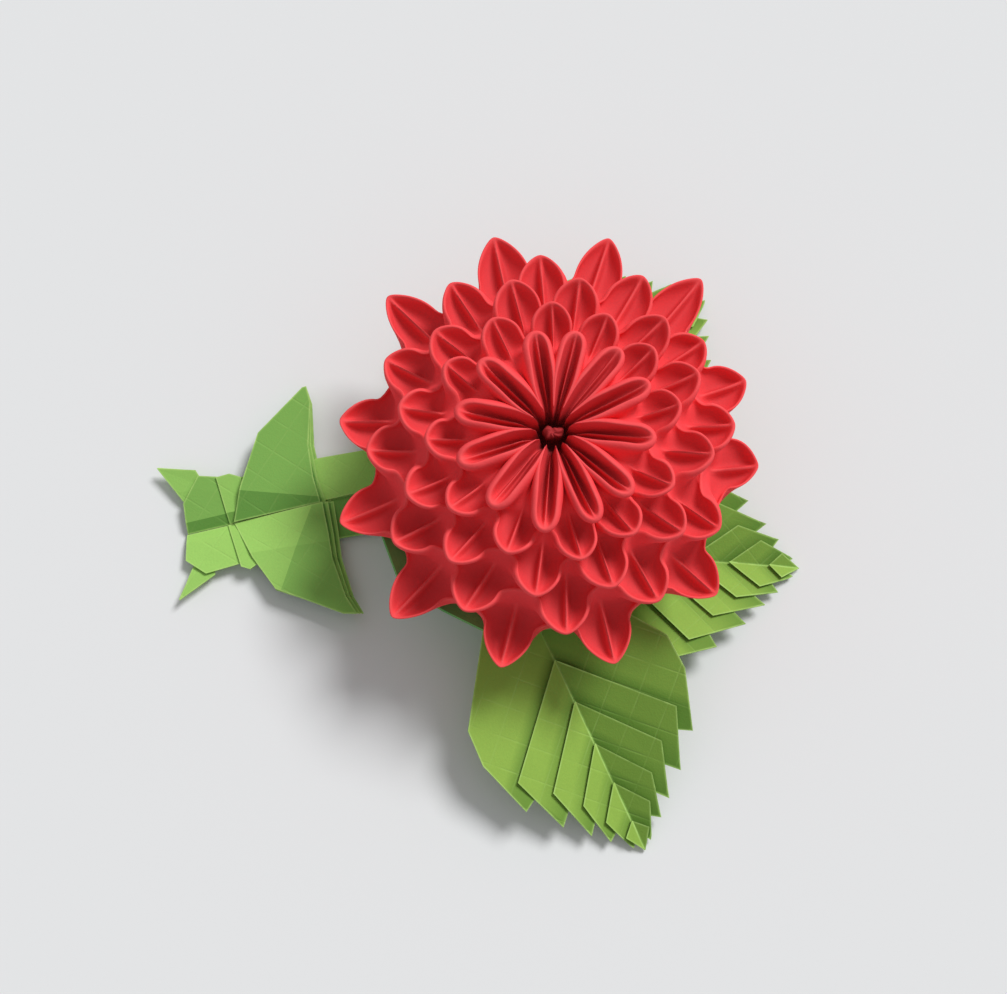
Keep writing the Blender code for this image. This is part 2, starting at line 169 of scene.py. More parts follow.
class PaperSettings(bpy.types.PropertyGroup):
    """Colours and sizes of the paper."""

    red: FloatVectorProperty(
        name="Head red", description="Dyed paper of the head", subtype="COLOR", size=4,
        min=0.0, max=1.0, default=(0.91, 0.062, 0.072, 1.0))
    leaf_green: FloatVectorProperty(
        name="Leaf green", description="Dyed paper of the leaves", subtype="COLOR", size=4,
        min=0.0, max=1.0, default=(0.285, 0.470, 0.072, 1.0))
    stem_green: FloatVectorProperty(
        name="Stem green", description="Dyed paper of the stem", subtype="COLOR", size=4,
        min=0.0, max=1.0, default=(0.360, 0.650, 0.140, 1.0))
    calyx_green: FloatVectorProperty(
        name="Calyx green", description="Dyed paper of the calyx", subtype="COLOR", size=4,
        min=0.0, max=1.0, default=(0.105, 0.380, 0.100, 1.0))
    thickness: FloatProperty(
        name="Paper thickness", description="Thickness of the leaves and the stem",
        subtype="DISTANCE", unit="LENGTH", default=0.00032, min=0.0001, max=0.001)
    lip: FloatProperty(
        name="Rim lip", description="Width of the folded edge round each petal",
        subtype="DISTANCE", unit="LENGTH", default=0.00042, min=0.0001, max=0.001)


class StageSettings(bpy.types.PropertyGroup):
    """Floor, light and camera."""

    floor: FloatVectorProperty(
        name="Floor colour", description="Plain pale table", subtype="COLOR", size=4,
        min=0.0, max=1.0, default=(0.80, 0.81, 0.82, 1.0))
    key: FloatProperty(
        name="Key light", description="Strength of the soft light from the upper right",
        default=2.5, min=0.0, max=10.0)
    sky: FloatProperty(
        name="Sky light", description="Strength of the even light from all round",
        default=0.37, min=0.0, max=2.0)


def paper_settings():
    return bpy.context.scene.dahlia_paper


def stage_settings():
    return bpy.context.scene.dahlia_stage


def mix(a, b, share):
    return a + (b - a) * share


def polar(radius, angle, height):
    return Vector((radius * math.cos(angle), radius * math.sin(angle), height))


def wobble(point, size, scale, seed):
    """Smooth irregularity of hand-folded paper, between -size and size."""
    return size * noise.noise(Vector(point) / scale + Vector((seed * 7.3, seed * 3.1, seed)))


# Materials

class Socket:
    """An output or a value in a node tree, with arithmetic that adds Math nodes."""

    def __init__(self, tree, source):
        self.tree = tree
        self.source = source

    def node(self, kind, inputs=(), output=0, **options):
        """Adds a node: its settings first, then the values or links of its sockets."""
        new = self.tree.nodes.new(kind)
        for key, value in options.items():
            setattr(new, key, value)
        pairs = inputs.items() if isinstance(inputs, dict) else enumerate(inputs)
        for key, value in pairs:
            if isinstance(value, Socket):
                self.tree.links.new(value.source, new.inputs[key])
            elif value is not None:
                new.inputs[key].default_value = value
        return Socket(self.tree, new.outputs[output])

    def math(self, operation, *values, clamp=False):
        return self.node("ShaderNodeMath", values, operation=operation, use_clamp=clamp)

    def __add__(self, other):
        return self.math("ADD", self, other)

    __radd__ = __add__

    def __mul__(self, other):
        return self.math("MULTIPLY", self, other)

    __rmul__ = __mul__

    def __sub__(self, other):
        return self.math("SUBTRACT", self, other)

    def __rsub__(self, other):
        return self.math("SUBTRACT", other, self)

    def clamped(self):
        return self.math("ADD", self, 0.0, clamp=True)

    def blend(self, low, high):
        """Colour between low and high, by this number."""
        return self.node(
            "ShaderNodeMix", {0: self, 6: low, 7: high}, output=2, data_type="RGBA")


CLOUD_SCALE = 130.0               # cells per metre: clouds in the dye, fibres, rubbed spots
FIBRE_SCALE = 2100.0
RUB_SCALE = 420.0
DARKEST_DYE = 0.90                # share of the colour in the darkest and the palest dye
PALEST_DYE = 1.08
ROUGHNESS = 0.66
SPECULAR = 0.22
BUMP_STRENGTH = 0.28
BUMP_DEPTH = 0.22 * MM
CREASE_WIDTH = 0.045              # of a line of the crease grid, as a share of a square

# Pale colours of the folds: dye really rubbed off, and a painted highlight where the folded edges
# catch the light
WORN_AND_LIT_RED = (0.96, 0.13, 0.13, 1.0)
WORN_AND_LIT_GREEN = (0.46, 0.70, 0.20, 1.0)
WORN_AND_LIT_CALYX = (0.32, 0.58, 0.20, 1.0)
RED_PAINTED_SHADE = (0.10, 0.05, 0.05)     # share of each channel left in a full painted shade, here and in the next
GREEN_PAINTED_SHADE = (0.40, 0.52, 0.45)


def paper_material(name, colour, worn_and_lit_colour, painted_shade_share=(1.0, 1.0, 1.0), creases=0.0):
    """Dyed craft paper: cloudy colour, fine fibres, painted shade, and rubbed folds with a
    painted highlight.
    """
    material = bpy.data.materials.new(name)
    material.use_nodes = True
    tree = material.node_tree
    shader = tree.nodes["Principled BSDF"]
    base = Socket(tree, None)
    place = base.node("ShaderNodeTexCoord", output="Object")

    def pattern(scale, roughness):
        return base.node(
            "ShaderNodeTexNoise",
            {"Vector": place, "Scale": scale, "Detail": 1.0, "Roughness": roughness})

    # pale folds: real rubbing, and a painted highlight along the lit folded edges
    worn_and_lit = base.node("ShaderNodeAttribute", output="Fac", attribute_name="worn_and_lit")
    shade = base.node("ShaderNodeAttribute", output="Fac", attribute_name="shade")
    cloud = pattern(CLOUD_SCALE, 0.6)
    fibre = pattern(FIBRE_SCALE, 0.8)
    rub = pattern(RUB_SCALE, 0.6)
    dark = tuple(c * DARKEST_DYE for c in colour[:3]) + (1.0,)
    light = tuple(min(1.0, c * PALEST_DYE + 0.003) for c in colour[:3]) + (1.0,)
    painted_shade_colour = tuple(c * share for c, share in zip(colour[:3], painted_shade_share)) + (1.0,)
    dye_and_shade = (cloud * 0.35 + fibre * 0.7 - 0.02).clamped().blend(dark, light)
    # painted shade: the shade attribute darkens the colour where light is kept out and on faces
    # turned from the light
    dye_and_shade = shade.blend(dye_and_shade, painted_shade_colour)
    # paleness of the folds, from rubbing and a painted highlight; the crease grid adds its real
    # lines below
    wear_and_light = (worn_and_lit * (rub * 1.3 + 0.1)).clamped()
    relief = fibre * 0.7 + cloud * 0.3
    if creases:
        grid = crease_grid(base)
        wear_and_light = (wear_and_light + grid * creases).clamped()
        relief = relief - grid * 1.6
    surface = wear_and_light.blend(dye_and_shade, worn_and_lit_colour)
    rough = ROUGHNESS + fibre * 0.16
    bump = base.node(
        "ShaderNodeBump",
        {"Height": relief, "Strength": BUMP_STRENGTH, "Distance": BUMP_DEPTH})
    tree.links.new(surface.source, shader.inputs["Base Color"])
    tree.links.new(rough.source, shader.inputs["Roughness"])
    tree.links.new(bump.source, shader.inputs["Normal"])
    shader.inputs["Specular IOR Level"].default_value = SPECULAR
    return material


def crease_grid(base):
    """Faint lines of the square grid that was folded into the sheet first."""
    uv = base.node("ShaderNodeUVMap", uv_map="sheet")
    lines = []
    for axis in ("X", "Y"):
        part = base.node("ShaderNodeSeparateXYZ", {0: uv}, output=axis)
        off = base.math("PINGPONG", part, 0.5)
        lines.append(base.node(
            "ShaderNodeMapRange", {0: off, 1: 0.0, 2: CREASE_WIDTH, 3: 1.0, 4: 0.0}))
    patch = base.node("ShaderNodeTexNoise", {"Vector": uv, "Scale": 0.9, "Detail": 1.0})
    return base.math("MAXIMUM", *lines) * (patch * 2.4 - 0.75).clamped()


def finish_piece(name, bm, material, node, flat=False):
    """Makes the object, shades it, hangs it on the root body and hides the CAD part it replaces.
    """
    mesh = bpy.data.meshes.new(name)
    bm.to_mesh(mesh)
    bm.free()
    for polygon in mesh.polygons:
        polygon.use_smooth = not flat
    obj = bpy.data.objects.new(name, mesh)
    obj.data.materials.append(material)
    bpy.context.scene.collection.objects.link(obj)
    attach(obj, "root")
    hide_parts(node)
    return obj


# Head

def petal_place(number, column):
    """Own petal of a column in a ring, and its signed share: 0 in the middle, 1 at a fork."""
    shift = HALF_COLUMNS * (number % 2)
    step = column + HALF_COLUMNS - shift
    petal = (step // PETAL_COLUMNS) % PETALS
    share = (step % PETAL_COLUMNS - HALF_COLUMNS) / HALF_COLUMNS
    return petal, share


def tip_direction(number, petal):
    """Direction of a petal's tip in radians, growing with the petal's number."""
    turns, place = divmod(petal, PETALS)
    ring = RINGS[number].petals
    return math.radians(ring[place][0] + 360.0 * turns)


def fork_direction(number, petal, side):
    """Direction of the fork on one side of a petal: halfway to the neighbour's tip."""
    here = tip_direction(number, petal)
    return (here + tip_direction(number, petal + side)) / 2


def sheet_angle(number, column):
    """Direction of a column in a ring, between the tip and the fork beside it."""
    petal, share = petal_place(number, column)
    tip = tip_direction(number, petal)
    fork = fork_direction(number, petal, 1 if share >= 0 else -1)
    return mix(tip, fork, abs(share))


TIP_WOBBLE = (0.7, 1.0, 4)        # size, scale and seed, here and in the next
WIDTH_WOBBLE = (0.16, 1.0, 9)
THIN_RIM_RADIUS = 7.0             # the rims get thinner inside it


def rim_centre(number, petal, share):
    """Middle of the folded edge at a place along a petal's rim."""
    ring = RINGS[number]
    share = max(-1.0, min(1.0, share))
    tip = tip_direction(number, petal)
    fork = fork_direction(number, petal, 1 if share >= 0 else -1)
    half_pitch = abs(fork - tip)
    back = abs(share) ** ring.blunt
    tip_radius = ring.petals[petal % PETALS][1]
    radius = mix(tip_radius, ring.fork_radius, back)
    bow = ring.arch * 4 * back * (1 - back)
    height = mix(ring.tip_height, ring.fork_height, back) + bow
    height += wobble((petal * 3.7, number * 5.1, 0.0), *TIP_WOBBLE) * (1 - back)
    half_width = ring.half_width * (1 + wobble((petal * 2.9, number * 4.3, 1.0), *WIDTH_WOBBLE))
    width = half_width * math.sin(math.pi / 2 * min(1.0, abs(share) / ring.widest))
    to_fork = max(0.0, (abs(share) - ring.widest) / (1 - ring.widest))
    width = mix(width, radius * math.sin(half_pitch), to_fork ** 4)
    free = half_pitch * (1 - 0.3 * (1 - abs(share)))
    angle = math.copysign(min(math.asin(min(0.9, width / radius)), free), share)
    return polar(radius, tip + angle, RIM_BASE + height)


def rim_point(number, offset, column):
    """Folded edge of a ring, moved out by half its thickness or in by it."""
    petal, share = petal_place(number, column)
    step = 0.5 / HALF_COLUMNS
    centre = rim_centre(number, petal, share)
    if share == -1.0:
        before = rim_centre(number, petal - 1, 1.0 - step)
        after = rim_centre(number, petal, share + step)
    else:
        before = rim_centre(number, petal, share - step)
        after = rim_centre(number, petal, share + step)
    along = (after - before).xy
    out = Vector((along.y, -along.x, 0.0))
    if out.length > 0:
        out.normalize()
    room = min(1.0, centre.xy.length / THIN_RIM_RADIUS)
    return centre + out * offset * room


def foot_point(number, column):
    """Foot of a ring's outer walls, where the next ring's petals begin."""
    ring = RINGS[number]
    following = RINGS[number + 1]
    _, share = petal_place(number, column)
    share = abs(share)
    radius = mix(following.fork_radius - TUCK_BACK, ring.valley_radius, share)
    height = mix(following.fork_height - TUCK_BACK, ring.valley_height, share)
    angle = (sheet_angle(number, column) + next_angle(number, column)) / 2
    return polar(radius, angle, RIM_BASE + height)


def next_angle(number, column):
    """Direction of the same column in the next ring, brought within half a turn."""
    here = sheet_angle(number, column)
    there = sheet_angle(number + 1, column)
    return there + 2 * math.pi * round((here - there) / (2 * math.pi))


def hole_point(depth, column):
    """Wall of the hole at a depth below the forks of the first ring."""
    return polar(HOLE_RADIUS, sheet_angle(0, column), RIM_BASE + RINGS[0].fork_height - depth)


def mouth_point(column):
    """Top of the hole's wall, where the petals of the first ring begin."""
    height = RIM_BASE + RINGS[0].fork_height - MOUTH_DEPTH
    return polar(HOLE_RADIUS + MOUTH_WIDER, sheet_angle(0, column), height)


# The head's sheet in rows from the knob outwards: the knob, then for each ring the floor, the
# rim and, but for the last ring, the wall and its foot, then the underside
KNOB_ROWS = 6
FLOOR_ROWS = (                    # share of the way to the rim, and of the groove's depth
    (0.10, 0.6), (0.32, 1.0), (0.56, 1.0), (0.78, 0.9), (0.93, 0.55))
RIM_ROWS = 2
WALL_SHARES = (0.12, 0.4, 0.75)   # of the way from the rim to the foot
RING_ROWS = len(FLOOR_ROWS) + RIM_ROWS + len(WALL_SHARES) + 1
UNDERSIDE_RADII = (30.0, 22.0, 14.0, 7.0)
UNDERSIDE_GAP = 0.85              # over the straight line from the calyx's neck to its rim
KEEL_RADIUS = 34.5
KEEL_DROP = 5.0                   # below the tips of the last ring

GROOVE_REACH = 0.86               # how far towards the rim the groove runs
GROOVE_LEAN = 0.43                # under 1, the groove is deepest close to the ridge
RIDGE_DROP = 0.3                  # the ridge lies a little below the rims
RIM_WEAR_AND_LIGHT = 0.4                    # how far the dye is rubbed off the folds, with a painted highlight where they catch the light
# the ridge's fold is paler the same way: rubbed, and a painted highlight on its lit top
RIDGE_WEAR_AND_LIGHT = 0.45
RIDGE_CREASE = 0.8                # how sharp the folds stay when the sheet is smoothed
RIM_CREASE = 0.5


def groove(across):
    """Share of a groove's depth at a place across a petal."""
    return math.sin(math.pi * min(1.0, abs(across) / GROOVE_REACH) ** GROOVE_LEAN)


def floor_point(number, row, lip, column):
    """Floor of a petal: a ridge along its middle with a groove on each side."""
    share, depth = FLOOR_ROWS[row]
    across = petal_place(number, column)[1]
    start = foot_point(number - 1, column) if number else mouth_point(column)
    point = start.lerp(rim_point(number, -lip / 2, column), share)
    point.z -= RINGS[number].dip * groove(across) * depth
    point.z -= RIDGE_DROP * (1 - abs(across))
    return point


def wall_point(number, share, lip, column):
    """Outer wall of a petal, which swells between its rim and its foot."""
    across = petal_place(number, column)[1]
    swell = RINGS[number].bulge * math.sin(math.pi * share ** 0.6) * (1 - abs(across) ** 3)
    rim = rim_point(number, lip / 2 + swell, column)
    return rim.lerp(foot_point(number, column), share)


def hull_point(depth, pull, lip, column):
    """Outer wall of the last ring, below a tip."""
    last = len(RINGS) - 1
    point = rim_point(last, lip / 2, column)
    _, share = petal_place(last, column)
    drawn = 1.0 - pull * (1 - abs(share)) / point.xy.length
    return Vector((point.x * drawn, point.y * drawn, point.z - depth))


def keel_point(column):
    """Underside of the last ring, where its walls turn in under the head."""
    last = len(RINGS) - 1
    _, share = petal_place(last, column)
    share = abs(share)
    radius = mix(KEEL_RADIUS, RINGS[last].valley_radius, share)
    height = mix(RINGS[last].tip_height - KEEL_DROP, RINGS[last].valley_height, share)
    return polar(radius, sheet_angle(last, column), RIM_BASE + height)


def underside(radius):
    """Height of the head's underside, just inside the calyx."""
    share = radius / math.cos(math.pi / CALYX_SIDES) - CALYX_NECK_RADIUS
    share /= CALYX_RIM_RADIUS - CALYX_NECK_RADIUS
    return CALYX_NECK_HEIGHT + share * (RIM_BASE - CALYX_NECK_HEIGHT) + UNDERSIDE_GAP


def head_rows(lip):
    """Rows of the head's surface from the knob outwards, each with how pale its folds are:
    rubbed, and a painted highlight.
    """
    top = RIM_BASE + RINGS[0].fork_height - KNOB_DROP

    def circle(radius, height, column):
        return polar(radius, sheet_angle(0, column), height)

    def knob(radius, height, column):
        angle = sheet_angle(0, column)
        twist = math.sin(3 * angle + 1.8 * radius) * 0.34 + math.sin(7 * angle - 2 * radius) * 0.2
        long = 1.0 + 0.3 * math.cos(2 * (angle - KNOB_HEADING))
        return polar(
            radius * long * (1 + 0.35 * twist), angle + 0.4 * radius, height + twist * radius / 2)

    rows = [
        (partial(circle, 0.0, top - 0.4), 0.0),
        (partial(knob, 0.7, top), 0.0),
        (partial(knob, 1.2, top - 0.35), 0.1),
        (partial(knob, KNOB_RADIUS, top - 1.2), 0.0),
        (partial(knob, 1.4, top - 3.0), 0.0),
        (partial(hole_point, HOLE_DEPTH), 0.0),
    ]
    for number in range(len(RINGS)):
        for row in range(len(FLOOR_ROWS)):
            rows.append((partial(floor_point, number, row, lip), 0.0))
        rows.append((partial(rim_point, number, -lip / 2), RIM_WEAR_AND_LIGHT))
        rows.append((partial(rim_point, number, lip / 2), RIM_WEAR_AND_LIGHT))
        if number + 1 < len(RINGS):
            for share in WALL_SHARES:
                rows.append((partial(wall_point, number, share, lip), 0.0))
            rows.append((partial(foot_point, number), 0.0))
    rows.append((partial(hull_point, 0.7, 0.3, lip), 0.0))
    rows.append((partial(hull_point, 2.8, 2.0, lip), 0.0))
    rows.append((keel_point, 0.0))
    for radius in UNDERSIDE_RADII:
        rows.append((partial(circle, radius, underside(radius)), 0.0))
    rows.append((partial(circle, 0.0, underside(UNDERSIDE_RADII[-1])), 0.0))
    return rows


HOLE_SHADE = (0.55, 0.6, 0.68, 0.85, 1.0, 1.0)    # painted shade of the knob's rows, from its top down into the hole
GROOVE_SHADE = 0.32
INNER_SHADE = 0.22                # more painted shade at the inner end of the first ring's petals
HEAD_WOBBLE = (0.22, 3.5, 2)      # size, scale and seed


def head_shade(row, column):
    """Painted shade of a vertex where light is kept out: in the hole, or in a petal's groove."""
    if row < KNOB_ROWS:
        return HOLE_SHADE[row]
    number, step = divmod(row - KNOB_ROWS, RING_ROWS)
    if number >= len(RINGS) or step >= len(FLOOR_ROWS):
        return 0.0
    share, depth = FLOOR_ROWS[step]
    inner = INNER_SHADE * (1 - share) if number == 0 else 0.0
    return GROOVE_SHADE * groove(petal_place(number, column)[1]) * depth + inner


def on_ridge(row, column):
    """Whether a vertex lies on the fold along a petal's middle, up to the rim."""
    number, step = divmod(row - KNOB_ROWS, RING_ROWS)
    in_petal = 0 <= number < len(RINGS) and step <= len(FLOOR_ROWS)
    return in_petal and petal_place(number, column)[1] == 0


def build_head():
    paper = paper_settings()
    lip = paper.lip / MM
    rows = head_rows(lip)
    last = len(rows) - 1
    keel = last - len(UNDERSIDE_RADII) - 1
    columns = PETALS * PETAL_COLUMNS
    bm = bmesh.new()
    bmesh.ops.create_grid(bm, x_segments=columns, y_segments=last, size=1.0)
    worn_and_lit = bm.verts.layers.float.new("worn_and_lit")
    shade = bm.verts.layers.float.new("shade")
    crease = bm.edges.layers.float.new("crease_edge")
    marks = {}
    for vertex in bm.verts:
        column = round((1.0 + vertex.co.x) / 2 * columns) % columns
        row = round((1.0 + vertex.co.y) / 2 * last)
        place, wear_and_light = rows[row]
        point = place(column)
        ridge = on_ridge(row, column)
        if 0 < row < keel:
            point.z += wobble(point, *HEAD_WOBBLE)
        vertex.co = point * MM
        # rims and ridges turn pale: rubbed paper, and a painted highlight on the lit folds
        vertex[worn_and_lit] = max(wear_and_light, RIDGE_WEAR_AND_LIGHT if ridge else 0.0)
        vertex[shade] = head_shade(row, column)
        marks[vertex] = (row, ridge)
    for edge in bm.edges:
        (row_a, ridge_a), (row_b, ridge_b) = marks[edge.verts[0]], marks[edge.verts[1]]
        if ridge_a and ridge_b:
            edge[crease] = RIDGE_CREASE
        elif row_a == row_b and rows[row_a][1] == RIM_WEAR_AND_LIGHT:
            edge[crease] = RIM_CREASE
    bmesh.ops.remove_doubles(bm, verts=bm.verts, dist=MERGE)
    bmesh.ops.recalc_face_normals(bm, faces=bm.faces)
    material = paper_material("dyed_red_paper", paper.red, WORN_AND_LIT_RED, RED_PAINTED_SHADE)
    head = finish_piece("head_petals", bm, material, "flower_head")
    smooth = head.modifiers.new("smooth", "SUBSURF")
    smooth.levels = 1
    smooth.render_levels = 1


# Calyx

def cup_radius(radius, heading):
    """Radius of the cup in a direction: drawn in under the petals, wide where it shows."""
    toward = max(0.0, math.cos(heading - CALYX_SIDE)) ** 4
    reach = CALYX_HIDDEN_RADIUS + CALYX_GROWTH * toward
    stretch = (reach - CALYX_NECK_RADIUS) / (CALYX_RIM_RADIUS - CALYX_NECK_RADIUS)
    return CALYX_NECK_RADIUS + (radius - CALYX_NECK_RADIUS) * stretch


def build_calyx():
    """Pleated cup on a short neck, with its edge turned in."""
    paper = paper_settings()
    bm = bmesh.new()
    points = [bm.verts.new((x * MM, 0.0, z * MM)) for x, z in CALYX_PROFILE]
    for a, b in zip(points, points[1:]):
        bm.edges.new((a, b))
    steps = CALYX_SIDES * 2
    bmesh.ops.spin(
        bm, geom=bm.verts[:] + bm.edges[:], cent=(0, 0, 0), axis=(0, 0, 1),
        angle=2 * math.pi, steps=steps, use_merge=True)
    bmesh.ops.remove_doubles(bm, verts=bm.verts, dist=MERGE)
    worn_and_lit = bm.verts.layers.float.new("worn_and_lit")
    for vertex in bm.verts:
        angle = math.atan2(vertex.co.y, vertex.co.x)
        at_corner = round(angle / (2 * math.pi) * steps) % 2 == 0
        radius = vertex.co.xy.length / MM
        in_cup = radius > CALYX_CUP_START
        pull = 1.0
        if in_cup:
            pull = cup_radius(radius, angle + CALYX_TURN) / radius
        if not at_corner:
            pull *= math.cos(math.pi / CALYX_SIDES) - (0.0 if in_cup else CALYX_PINCH)
        vertex.co.x *= pull
        vertex.co.y *= pull
        vertex[worn_and_lit] = 0.35 if at_corner and in_cup else 0.05
    bmesh.ops.rotate(
        bm, verts=bm.verts, cent=(0, 0, 0), matrix=Matrix.Rotation(CALYX_TURN, 3, "Z"))
    bmesh.ops.recalc_face_normals(bm, faces=bm.faces)
    if sum(face.normal.z * face.calc_area() for face in bm.faces) > 0:
        bmesh.ops.reverse_faces(bm, faces=bm.faces)
    material = paper_material("calyx_green_paper", paper.calyx_green, WORN_AND_LIT_CALYX)
    calyx = finish_piece("calyx_folds", bm, material, "calyx", flat=True)
    add_wall(calyx)


def add_wall(obj):
    """Gives an open sheet the thickness of the paper."""
    wall = obj.modifiers.new("paper", "SOLIDIFY")
    wall.thickness = paper_settings().thickness
    wall.offset = -1.0
    wall.use_even_offset = False


# Folded layers of the leaves and the stem

EDGE_BAND = 0.34                  # width of the pale band inside a layer's outline: rubbed, with a painted highlight on the fold
HEM_DEPTH = 0.35                  # how far a folded edge turns down
# paleness of a turned-down hem: rubbed, and a painted highlight
HEM_WEAR_AND_LIGHT = 0.4
LAYER_WOBBLE = (0.16, 7.0)        # size and scale
INWARD = 0.03                     # how far from its corner towards its middle a face is shaded


def add_layer(bm, outline, height, cuts, hem, seed, dark):
    """Adds one flat layer of paper: a narrow pale band inside its outline, rubbed and with a
    painted highlight, cut along its creases, laid to a height and given its painted shade.
    The hem lists the sides that are folded edges."""
    worn_and_lit = bm.verts.layers.float["worn_and_lit"]
    shade = bm.loops.layers.float["shade"]
    sheet = bm.loops.layers.uv["sheet"]
    corners = [bm.verts.new((x, y, 0.0)) for x, y in outline]
    face = bm.faces.new(corners)
    bm.normal_update()
    if face.normal.z < 0:
        face.normal_flip()
    before = set(bm.verts) - set(corners)
    bmesh.ops.inset_region(
        bm, faces=[face], use_boundary=True, thickness=EDGE_BAND, use_even_offset=True)
    mine = [v for v in bm.verts if v not in before]
    for vertex in mine:
        # the outline turns pale: rubbed, and a painted highlight along the folded edge
        vertex[worn_and_lit] = 1.0 if vertex.is_boundary else 0.0
    faces = {f for v in mine for f in v.link_faces}
    for point, normal in cuts:
        geom = list(faces) + list({e for f in faces for e in f.edges})
        geom += list({v for f in faces for v in f.verts})
        bmesh.ops.bisect_plane(
            bm, geom=geom, plane_co=(*point, 0.0), plane_no=(*normal, 0.0), dist=0.01)
        mine = [v for v in bm.verts if v not in before]
        faces = {f for v in mine for f in v.link_faces}
    folded = []
    for a, b in hem:
        start, end = Vector(outline[a]), Vector(outline[b])
        folded += [
            edge for edge in {e for f in faces for e in f.edges}
            if edge.is_boundary and all(on_segment(v.co.xy, start, end) for v in edge.verts)]
    for vertex in mine:
        x, y = vertex.co.x, vertex.co.y
        vertex.co.z = height(x, y) + wobble((x, y, 0.0), *LAYER_WOBBLE, seed)
    square = math.sqrt(2) * CREASE_GRID
    for face in faces:
        middle = face.calc_center_median()
        for loop in face.loops:
            x, y = loop.vert.co.x, loop.vert.co.y
            loop[sheet].uv = ((x + y) / square, (x - y) / square)
            inside = dark(mix(x, middle.x, INWARD), mix(y, middle.y, INWARD))
            loop[shade] = min(1.0, inside)
    if folded:
        down = bmesh.ops.extrude_edge_only(bm, edges=folded)
        for vertex in down["geom"]:
            if isinstance(vertex, bmesh.types.BMVert):
                vertex.co.z -= HEM_DEPTH
                vertex[worn_and_lit] = HEM_WEAR_AND_LIGHT


def on_segment(point, a, b):
    """Whether a point lies on the line from a to b, within 0.02 mm."""
    along = b - a
    share = (point - a).dot(along) / along.length_squared
    return -0.001 <= share <= 1.001 and (a + along * share - point).length < 0.02


def new_layers():
    bm = bmesh.new()
    bm.verts.layers.float.new("worn_and_lit")
    bm.loops.layers.float.new("shade")
    bm.loops.layers.uv.new("sheet")
    return bm


# Leaves

def leaf_cuts():
    """Lines of the crease grid, which runs at 45 degrees to the midrib."""
    cuts = []
    for number in CREASE_NUMBERS:
        off = number * CREASE_GRID * math.sqrt(2)
        cuts.append(((-off, 0.0), (1.0, 1.0)))
        cuts.append(((-off, 0.0), (1.0, -1.0)))
    return cuts


def fold_distance(number, t, w):
    """Signed distance from a fold line, positive towards the tip."""
    start = Vector((LEAF_MIDRIB[number], 0.0))
    end = Vector(LEAF_PLEAT_ENDS[number])
    along = (end - start).normalized()
    across = Vector((-along.y, along.x))
    if across.x > 0:
        across = -across
    return (Vector((t, w)) - start).dot(across)


def leaf_height(strip, side, steep, x, y):
    """Height of a strip: the half's slope, and its folded edge over the strip before."""
    t = -x
    w = abs(y)
    rise = w * math.tan(math.radians(steep if side > 0 else LEAF_FOLD))
    if side < 0:
        rise += MIDRIB_RISE * max(0.0, 1 - w / MIDRIB_WIDTH)
    if strip == 0:
        return rise
    ahead = fold_distance(strip - 1, t, w)
    if strip < len(LEAF_MIDRIB):
        behind = -fold_distance(strip, t, w)
    else:
        behind = t
    width = max(1.0, ahead + behind)
    lift = LEAF_STEP * (1 - ahead / width)
    return rise + max(-LEAF_TUCK, min(LEAF_STEP, lift))


def leaf_outline(strip, length):
    """Corners of a strip as (t, w), from the midrib out and back to it."""
    if strip == 0:
        share = (length - LEAF_SHOULDER[0][0]) / (LEAF_FULL[0] - LEAF_SHOULDER[0][0])
        neck = mix(LEAF_SHOULDER[0][1], LEAF_FULL[1], share)
        corners = [(length, 0.0), (length, neck), *LEAF_SHOULDER, LEAF_TEETH[0]]
    else:
        corners = [(LEAF_MIDRIB[strip - 1], 0.0), LEAF_PLEAT_ENDS[strip - 1]]
        corners += LEAF_TEETH[strip:strip + 1]
    if strip < len(LEAF_MIDRIB):
        end_t, end_w = LEAF_PLEAT_ENDS[strip]
        corners.append((end_t - LEAF_UNDERLAP, end_w * UNDERLAP_WIDTH))
        corners.append((LEAF_MIDRIB[strip] - LEAF_UNDERLAP, 0.0))
    else:
        corners.append((0.0, 0.0))
    return corners


HALF_SHADE = 0.5                  # of the half that is turned from the light
BAND = 2.6                        # width of the shaded band before a folded edge
BAND_SHADE = 0.75


def leaf_dark(strip, side, x, y):
    """Shade of a leaf: one half, and a band before each folded edge."""
    dark = HALF_SHADE if side > 0 else 0.0
    if strip < len(LEAF_MIDRIB):
        near = max(0.0, -fold_distance(strip, -x, abs(y)))
        dark += BAND_SHADE * max(0.0, 1 - near / BAND)
    return dark


def band_cut(strip, side):
    """Line along which the shaded band of a strip begins."""
    end_t, end_w = LEAF_PLEAT_ENDS[strip]
    start = Vector((-LEAF_MIDRIB[strip], 0.0))
    along = (Vector((-end_t, side * end_w)) - start).normalized()
    normal = Vector((along.y, -along.x))
    if normal.x > 0:
        normal = -normal
    return start + normal * BAND, normal


